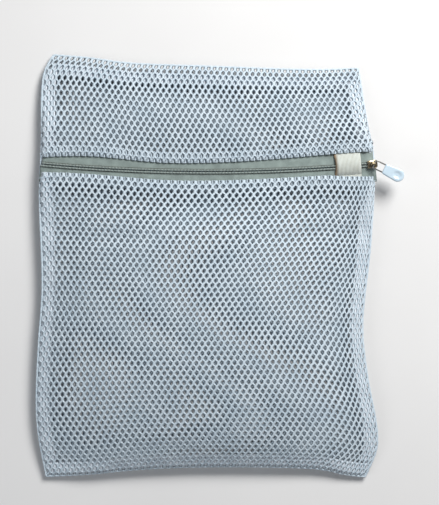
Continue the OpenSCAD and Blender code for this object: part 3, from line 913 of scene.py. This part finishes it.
zip_joint = next(joint for joint in frame["joints"] if joint["name"] == "zip_travel")
bow_y = zip_joint["pos_m"][1]          # centre of the wide bow that the zip lies on
zip_middle = 0.0001                    # just beside the bow's middle, where the zip is measured
lower_coil_low, lower_coil_top = span_at(corners_of("lower_zip_coil"), 0, zip_middle)
upper_coil_low = span_at(corners_of("upper_zip_coil"), 0, zip_middle)[0]
bow_radius = bow_y - (lower_coil_top + upper_coil_low) / 2
half_gap = (upper_coil_low - lower_coil_top) / 2
tape_low, tape_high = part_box("lower_zip_tape")
tape_width = bow_y - bow_radius - span_at(corners_of("lower_zip_tape"), 0, zip_middle)[0]
tape_trim = (0.0016, 0.0006)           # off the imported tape's left and right ends
turn_down = 0.006
above_seam = 0.0007                    # from the seam up to the tape's middle at its ends
slider_room = 0.0039                   # half the width left level for the slider at both ends
level_blend = 0.002
ripple_high, ripple_turn, ripple_slant, ripple_start = 0.00012, 95, 300, 0.02
# the groove beside the coil is painted shade on the tape's colour, not a groove in its shape
painted_groove_shade_in = 0.0015                     # from the tape's inner edge
painted_groove_shade_wide = 0.0006


def on_zip(x, offset):
    """Plan place at a distance above (+) or below (-) the zip's line."""
    angle, radius = np.arcsin(x / bow_radius), bow_radius - offset
    return np.stack([radius * np.sin(angle), bow_y - radius * np.cos(angle)], axis=-1)


def zip_tape(side, name, node):
    """One tape: level along the coil, with its ends turned down beside the slider's track."""
    low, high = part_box(node)
    x = np.linspace(low.x + tape_trim[0], high.x - tape_trim[1], 170)
    offsets = np.linspace(half_gap, tape_width, 9)
    offsets = -offsets[::-1] if side < 0 else offsets
    level = (low.z + high.z) / 2
    grid = np.empty((len(offsets), len(x), 3))
    for row, offset in enumerate(offsets):
        grid[row, :, :2] = on_zip(x, offset)
        beside = smooth_step((abs(offset) - slider_room) / level_blend)
        for column, (px, py, _) in enumerate(grid[row]):
            seam = seam_height(px, py) + above_seam
            left_share = (1 - smooth_step((px - low.x) / turn_down)) * beside
            right_share = (1 - smooth_step((high.x - px) / turn_down)) * beside
            ripple = ripple_high * math.sin(px * ripple_turn + offset * ripple_slant) * (
                min(1, (px - low.x) / ripple_start))
            grid[row, column, 2] = level + ripple * beside + (seam - level) * max(left_share, right_share)
    piece = thick_sheet(name, grid, tape_high.z - tape_low.z, sage_tape)
    stands_in(piece, node)


def with_painted_groove_shade(material):
    """Paints a narrow line of shade on the tape beside the coil, for the groove where the thread pulls the
    tape down; the tape's shape has no groove.
    """
    tree = material.node_tree
    woven = tree.nodes["Principled BSDF"].inputs["Base Color"].links[0].from_socket
    half = (tape_width - half_gap) / 2
    place = part_of(tree, cloth_place(tree), 1)
    for beyond in (half, half - painted_groove_shade_in):
        place = sum_in(tree, "ABSOLUTE", sum_in(tree, "SUBTRACT", place, beyond))
    # painted shade: near black along the groove's line, blended into the woven colour
    dress(material, mixed(tree, place, painted_groove_shade_wide / 4, painted_groove_shade_wide, (0.035, 0.045, 0.042), woven))


sage_tape = woven_finish("sage_tape", (0.28, 0.35, 0.33), (0.11, 0.14, 0.135), 0.0006, 0.0009, 0.7)
with_painted_groove_shade(sage_tape)
zip_tape(-1, "lower_woven_tape", "lower_zip_tape")
zip_tape(1, "upper_woven_tape", "upper_zip_tape")

# ---- Coils ----
# Each tape carries a coil of sage nylon wire, wound in narrow loops round a cord and sewn down
# with a dark thread beside it. The closed loops meet along the middle.

wire_thick = 0.00062
turn_spacing = 0.00125
turn_lean = 0.00028
turn_square = 0.8                      # below 1 squares the loop's corners
coil_start, coil_ends = 0.0003, 0.0012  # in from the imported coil's start, and from both its ends
head_in = 0.00031                      # from the zip's line to the loops' heads, clear of the slider's post
coil_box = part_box("lower_zip_coil")
coil_high = coil_box[1].z - coil_box[0].z
coil_wide = lower_coil_top - lower_coil_low + half_gap - head_in
gutter = head_in + coil_wide + 0.0003  # from the zip's line to the thread that holds the coil down
gutter_ends = (0.003, 0.0085)          # of the zip left without that thread, at the left and the right
gutter_stitch, gutter_thick, gutter_flat = 0.0024, 0.00045, 0.3


def coil_maker():
    """Winds loops of wire along the zip's bow, on one side of its line."""
    tree, given, out = new_maker("wind_coil", {
        "Turn": "Object", "Turns": "Int", "Radius": "Float", "First angle": "Float", "Angle apart": "Float",
        "Bow centre": "Float", "Height": "Float", "Finish": "Material"})
    number = step_in(tree, "GeometryNodeInputIndex")
    angle = sum_in(tree, "ADD", sum_in(tree, "MULTIPLY", number, given["Angle apart"]), given["First angle"])
    x = sum_in(tree, "MULTIPLY", sum_in(tree, "SINE", angle), given["Radius"])
    drop = sum_in(tree, "MULTIPLY", sum_in(tree, "COSINE", angle), given["Radius"])
    place = place_in(tree, x, sum_in(tree, "SUBTRACT", given["Bow centre"], drop), given["Height"])
    points = step_in(tree, "GeometryNodePoints", {"Count": given["Turns"], "Position": place})
    wound = laid_on(tree, points, given["Turn"], Rotation=place_in(tree, z=angle))
    return end_with(tree, wound, given["Finish"], out)


def squared(value):
    return math.copysign(abs(value) ** turn_square, value)


def turn_of_wire(side):
    """One loop of the coil, squared at the head that meets the other coil, and leaning a little."""
    stations, sides, head_wide = 12, 5, 1.25
    half_wide = (coil_wide - wire_thick) / 2
    half_high = (coil_high - wire_thick) / 2
    points = []
    for i in range(stations):
        a = 2 * math.pi * i / stations
        centre = Vector((turn_lean * math.sin(a), half_wide * squared(math.cos(a)),
                         half_high * squared(math.sin(a))))
        out = Vector((0, half_high * math.cos(a), half_wide * math.sin(a))).normalized()
        head = head_wide if math.cos(a) * side < -0.7 else 1.0
        for k in range(sides):
            b = 2 * math.pi * k / sides
            points.append(centre + wire_thick / 2 * (out * math.cos(b) + Vector((head * math.sin(b), 0, 0))))
    turn = plain_mesh("turn", [tuple(p) for p in points], tube_faces(stations, sides, closed=True))
    shape = bmesh.new()
    shape.from_mesh(turn.data)
    bmesh.ops.recalc_face_normals(shape, faces=shape.faces)
    shape.to_mesh(turn.data)
    shape.free()
    return turn


def wire_finish():
    """Sage nylon wire, a little uneven in tone, with fine bumps."""
    material, tree = new_finish("coil_wire", {"Roughness": 0.38, "Specular IOR Level": 0.55})
    colour = shade(tree, noise(tree, 500.0, 3.0), (0.3, (0.34, 0.41, 0.39)), (0.7, (0.48, 0.55, 0.52)))
    return dress(material, colour, noise(tree, 2200.0), 0.25, 0.00004)


coil_tree = coil_maker()
coil_wire = wire_finish()
sage_thread = thread_finish("sage_thread", (0.12, 0.13, 0.11), (0.06, 0.07, 0.06))
for side, name, node in ((-1, "lower_wire_coil", "lower_zip_coil"), (1, "upper_wire_coil", "upper_zip_coil")):
    low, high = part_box(node)
    turn = turn_of_wire(side)
    coil = made_by(coil_tree, plain_mesh("coil_source", [], []), name, {
        "Turn": turn, "Turns": int((high.x - low.x - coil_ends) / turn_spacing),
        "Radius": bow_radius - side * (head_in + coil_wide / 2),
        "First angle": math.asin(low.x / bow_radius) + (
            coil_start if side < 0 else coil_start + turn_spacing / 2) / bow_radius,
        "Angle apart": turn_spacing / bow_radius, "Bow centre": bow_y, "Height": (low.z + high.z) / 2,
        "Finish": coil_wire})
    bpy.data.objects.remove(turn)
    stands_in(coil, node)
    x = np.linspace(low.x + gutter_ends[0], high.x - gutter_ends[1], 120)
    path = np.concatenate([on_zip(x, side * gutter), np.full((len(x), 1), tape_high.z)], axis=1)
    sewn_row(name + "_stitches", path, gutter_stitch, gutter_thick, gutter_stitch, sage_thread,
             flat=gutter_flat)

for side in ("lower", "upper"):
    cord = nodes[side + "_coil_cord"]
    cord.data.materials.clear()
    cord.data.materials.append(thread_finish(side + "_cord_yarn", (0.28, 0.33, 0.32), (0.18, 0.22, 0.21)))

# ---- Hem stitching ----
# A row of white lockstitch on each hem, through the net, the layer folded under and the tape.

hem_stitch = 0.0024
stitch_sunk = 0.0001                   # how far the thread is drawn into the net
for side in ("lower", "upper"):
    node = side + "_hem_stitching"
    low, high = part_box(node)
    corners = corners_of(node)
    at, lower_side = line_along(corners, 0, low.x, high.x, 0, steps=160)
    upper_side = line_along(corners, 0, low.x, high.x, 1, steps=160)[1]
    tree = as_tree(corners)
    line = [(x, y, height_on(tree, x, y) - stitch_sunk) for x, y in zip(at, (lower_side + upper_side) / 2)]
    sewn_row(side + "_hem_lockstitch", line, hem_stitch, thread_thick, hem_stitch * stitch_spacing,
             white_thread, node)

# ---- Elastic loop ----
# A broad band of cream ribbed elastic arches over the closed end of the zip, to hold the slider.
# Both feet are sewn in under the hems, and its inner edge rolls under.

elastic_wide = 0.023
elastic_thick = 0.0008
elastic_foot = 0.0036
rib_spacing = 0.00115
rib_high = 0.00045
arch_full = 0.85                       # below 1 makes the arch fuller at its sides
left_roll, right_roll = 0.0042, 0.003  # widths that roll under at the band's edges
left_droop, right_droop = 0.0022, 0.0008
left_tuck = 0.0011
elastic_low, elastic_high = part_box("elastic_loop")
elastic_mid = (elastic_low + elastic_high) / 2
zip_slope = math.asin(elastic_mid.x / bow_radius)
elastic_span = ((elastic_high.y - elastic_low.y) - elastic_wide * math.sin(zip_slope)) / math.cos(zip_slope)
elastic_reach = elastic_span / 2 - elastic_foot


def ribbed_band():
    """The band: stations along the arch from one foot to the other, ribs side by side across it."""
    rise = elastic_high.z - tape_high.z - elastic_thick
    base = tape_high.z + elastic_thick / 2
    stations = np.linspace(-1, 1, 61) * (elastic_reach + elastic_foot)
    arch = np.clip(1 - (stations / elastic_reach) ** 2, 0, 1) ** arch_full
    ribs = int(elastic_wide / rib_spacing)
    across = np.linspace(-elastic_wide / 2, elastic_wide / 2, ribs * 4 + 1)
    lift = rib_high / 2 * np.cos(across / elastic_wide * ribs * 2 * math.pi)
    lift[[0, -1]] = 0
    from_left = np.clip(1 - (across + elastic_wide / 2) / left_roll, 0, 1) ** 2
    from_right = np.clip(1 - (elastic_wide / 2 - across) / right_roll, 0, 1) ** 2
    rolled = arch[:, None] * (left_droop * from_left + right_droop * from_right)[None, :]
    centre = np.stack([np.zeros_like(stations), stations, base + rise * arch], axis=-1)
    ahead = np.gradient(centre, axis=0)
    ahead /= np.linalg.norm(ahead, axis=1, keepdims=True)
    up = np.cross((1.0, 0, 0), ahead)
    c, s = math.cos(zip_slope), math.sin(zip_slope)
    skins = []
    for skin in (1, -1):
        height = skin * elastic_thick / 2 + lift
        layer = centre[:, None] + up[:, None] * (height[None, :, None] - rolled[:, :, None])
        layer[:, :, 0] += across[None, :] + arch[:, None] * (left_tuck * from_left)[None, :]
        x, y, z = layer[..., 0], layer[..., 1], layer[..., 2]
        skins.append(np.stack([elastic_mid.x + c * x - s * y, elastic_mid.y + s * x + c * y, z], axis=-1))
    along = np.concatenate([[0], np.cumsum(np.linalg.norm(np.diff(centre, axis=0), axis=1))])
    return closed_shell("ribbed_elastic", *skins, across, along, elastic_finish()), along[-1]


def elastic_finish():
    """Cream knitted elastic: soft ribs of covered rubber with fine yarn wound across them, with painted
    shade in the grooves between the ribs and a painted brown shadow where its inner edge rolls under."""
    material, tree = new_finish("cream_elastic", {"Roughness": 0.75, "Sheen Weight": 0.3})
    place = cloth_place(tree)
    uneven = sum_in(tree, "ADD", waves(tree, place, rib_spacing, "X", 0.3), noise(tree, 160.0, 4.0, place))
    # painted shade: the waves make the grooves between the ribs darker and warmer; the noise adds random tone
    cream = shade(tree, uneven, (0.3, (0.33, 0.32, 0.25)), (1.0, (0.57, 0.61, 0.58)))
    # painted brown shadow, strongest at the left edge where the band rolls under
    colour = mixed(tree, part_of(tree, place, 0), -elastic_wide / 2, -elastic_wide / 2 + left_roll,
                   (0.20, 0.12, 0.05), cream)
    return dress(material, colour, waves(tree, place, 0.0005, "Y", 0.8), 0.4, 0.00008)


elastic, elastic_long = ribbed_band()
stands_in(elastic, "elastic_loop")

# ---- Slider ----
# Die-cast metal in a brass colour, with painted dark reflections in cloudy patches: two plates
# joined by a post, side walls that run along the coil, and a bridge that the pull hangs from. Its
# edges are tumbled round.


def softened(name, node, finish, round_by):
    """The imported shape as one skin, with its edges rounded."""
    mesh = nodes[node].data.copy()
    shape = bmesh.new()
    shape.from_mesh(mesh)
    bmesh.ops.remove_doubles(shape, verts=shape.verts, dist=0.000002)
    bmesh.ops.dissolve_limit(shape, angle_limit=math.radians(1.5), verts=shape.verts, edges=shape.edges)
    bmesh.ops.recalc_face_normals(shape, faces=shape.faces)
    shape.to_mesh(mesh)
    shape.free()
    mesh.materials.clear()
    mesh.materials.append(finish)
    piece = put_out(name, mesh)
    bevel = piece.modifiers.new("rounded", "BEVEL")
    bevel.width = round_by
    bevel.segments = 3
    bevel.limit_method = "ANGLE"
    bevel.angle_limit = math.radians(28)
    bevel.harden_normals = True
    depsgraph = bpy.context.evaluated_depsgraph_get()
    piece.data = bpy.data.meshes.new_from_object(piece.evaluated_get(depsgraph), depsgraph=depsgraph)
    piece.modifiers.clear()
    piece.data.name = name
    piece.data.shade_smooth()
    return piece


def metal_finish(name, light, dark, rough):
    """Metal with cloudy patches between its light and dark colours, and fine tumbling marks. On the link the
    patches are a faint tarnish; on the slider the near-black colour is painted dark reflection.
    """
    material, tree = new_finish(name, {"Metallic": 1.0})
    rougher = step_in(tree, "ShaderNodeMapRange", {"Value": noise(tree, 900.0), "To Min": rough,
                                                   "To Max": rough + 0.16})
    tree.links.new(rougher, tree.nodes["Principled BSDF"].inputs["Roughness"])
    # cloudy patches: tarnish on the link, painted dark reflection on the slider
    colour = shade(tree, noise(tree, 420.0, 4.0), (0.3, dark), (0.65, light))
    return dress(material, colour, noise(tree, 1800.0, 3.0), 0.12, 0.00004)


# the near-black colour is painted dark reflection, in patches over the brass colour
brass_with_painted_dark_reflections = metal_finish("brass_with_painted_dark_reflections", (0.46, 0.37, 0.22), (0.09, 0.09, 0.09), 0.2)
stands_in(softened("cast_slider", "slider_body", brass_with_painted_dark_reflections, 0.00016), "slider_body", "slider")

# ---- Pull ----
# A bright link turns under the bridge. Its far end is moulded into a white plastic tab, which
# widens to a round end with a thumb hollow on both faces.

shoulder_half = 0.0047
shoulder_round = 0.0014
hollow_long, hollow_wide, hollow_deep = 0.0042, 0.0034, 0.00075
hollow_back = 0.0005                   # from the round end's centre to the hollow's
rounded_edge = [(0.0, 0.0), (0.0001, 0.45), (0.0003, 0.75), (0.00065, 0.93), (0.0011, 1.0)]

link_plate = metal_finish("link_plate", (0.83, 0.82, 0.79), (0.52, 0.50, 0.46), 0.14)
stands_in(softened("link", "pull_link", link_plate, 0.00022), "pull_link", "pull")

pull_joint = next(joint for joint in frame["joints"] if joint["name"] == "pull_swing")
bar = Vector(pull_joint["pos_m"])
bar_way = Vector(pull_joint["axis"]).normalized()
pull_way = Vector((-bar_way.y, bar_way.x, 0))
side_way = Vector((-pull_way.y, pull_way.x, 0))
grip_points = [v.co - bar for v in nodes["pull_grip"].data.vertices]
grip_start = min(p.dot(pull_way) for p in grip_points)
grip_stop = max(p.dot(pull_way) for p in grip_points)
grip_end_half = max(p.dot(side_way) for p in grip_points)
grip_half_thick = max(p.z for p in grip_points)


def grip_outline(count):
    """The tab's outline, evenly spaced: nearly straight sides from square shoulders to a round end."""
    circles = [(grip_stop - grip_end_half, 0.0, grip_end_half)]
    circles += [(grip_start + shoulder_round, side * (shoulder_half - shoulder_round), shoulder_round)
                for side in (-1, 1)]
    points, fine = [], 720
    for k in range(fine):
        a = 2 * math.pi * k / fine
        x, y = math.cos(a), math.sin(a)
        cx, cy, r = max(circles, key=lambda c: c[0] * x + c[1] * y + c[2])
        points.append((cx + r * x, cy + r * y))
    points = np.array(points + points[:1])
    lengths = np.concatenate([[0], np.cumsum(np.linalg.norm(np.diff(points, axis=0), axis=1))])
    at = np.linspace(0, lengths[-1], count, endpoint=False)
    return np.stack([np.interp(at, lengths, points[:, 0]), np.interp(at, lengths, points[:, 1])], axis=-1)


def moulded_tab():
    """The tab: rings of its outline, in over the rounded edge and down into the hollow, on both faces."""
    count, face_rings = 96, 22
    outline = grip_outline(count)
    ahead = np.roll(outline, -1, axis=0) - np.roll(outline, 1, axis=0)
    ahead /= np.linalg.norm(ahead, axis=1, keepdims=True)
    inward = np.stack([-ahead[:, 1], ahead[:, 0]], axis=-1)
    heart = np.array([grip_stop - grip_end_half - hollow_back, 0.0])
    rings = [(outline + inward * inset, share) for inset, share in rounded_edge]
    inner = rings[-1][0]
    rings += [(heart + (inner - heart) * s, 1.0) for s in np.linspace(0.94, 0.04, face_rings)]
    top = []
    for plan, share in rings:
        away = np.sqrt(((plan[:, 0] - heart[0]) / hollow_long) ** 2 + (
            (plan[:, 1] - heart[1]) / hollow_wide) ** 2)
        hollow = hollow_deep * (1 - smooth_step((away - 0.35) / 0.75))
        height = share * grip_half_thick - hollow * (share == 1.0)
        top.append(np.concatenate([plan, height[:, None]], axis=1))
    loops = [layer * (1, 1, -1) for layer in top[1:]][::-1] + top
    peak = top[-1][0, 2]
    points = np.concatenate(loops + [np.array([[*heart, peak], [*heart, -peak]])])
    last, middle_point = (len(loops) - 1) * count, len(points) - 2
    faces = tube_faces(len(loops), count)
    for k in range(count):
        n = (k + 1) % count
        faces += [(last + k, last + n, middle_point), (n, k, middle_point + 1)]
    placed = [bar + pull_way * x + side_way * y + Vector((0, 0, z)) for x, y, z in points]
    return new_piece("moulded_tab", [tuple(p) for p in placed], faces, tab_finish())


def tab_finish():
    """Glossy bluish white plastic, a little uneven in tone, with faint handling marks."""
    material, tree = new_finish("white_plastic", {
        "Roughness": 0.24, "Coat Weight": 0.3, "Coat Roughness": 0.12, "Subsurface Weight": 0.08,
        "Subsurface Radius": (0.002, 0.002, 0.002)})
    colour = shade(tree, noise(tree, 120.0, 4.0), (0.3, (0.46, 0.58, 0.67)), (0.7, (0.54, 0.66, 0.75)))
    return dress(material, colour, noise(tree, 700.0, 3.0), 0.08, 0.00005)


stands_in(moulded_tab(), "pull_grip", "pull")
